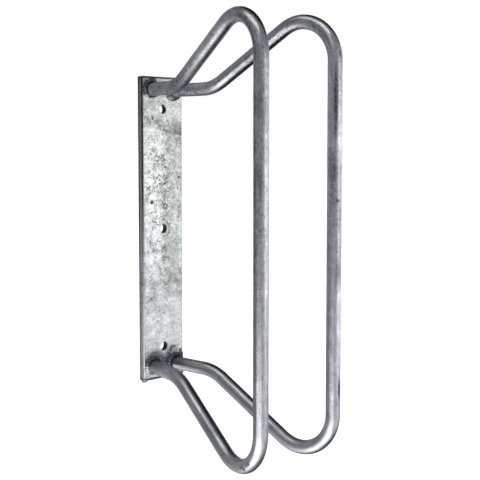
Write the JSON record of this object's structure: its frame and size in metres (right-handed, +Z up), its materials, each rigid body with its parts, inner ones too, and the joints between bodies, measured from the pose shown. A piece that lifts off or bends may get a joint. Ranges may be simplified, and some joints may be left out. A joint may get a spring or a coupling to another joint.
{
  "type": "wall-mounted bike rack",
  "caption": "Flat wall plate carrying splayed bent-tube bows that wedge a bicycle's front wheel upright between them; welded, hot-dip galvanised steel.",
  "frame": {"origin": "centre of the wall plate's back face, on the wall", "axes": "+Z up along the plate, +Y into the wall, +X to the right as seen from in front of the wall"},
  "size_m": [0.1234, 0.2531, 0.489],
  "materials": {
    "galvanised_plate": "hot-dip galvanised, matt, mottled and lightly crackled",
    "galvanised_tube": "hot-dip galvanised, satin, streaked along the tube",
    "galvanised_weld": "rough fillet weld under dark zinc"
  },
  "bodies": {
    "root": {"wall_plate": "galvanised_plate", "left_bow": "galvanised_tube", "right_bow": "galvanised_tube", "upper_left_weld": "galvanised_weld", "upper_right_weld": "galvanised_weld", "lower_left_weld": "galvanised_weld", "lower_right_weld": "galvanised_weld"}
  },
  "joints": []
}
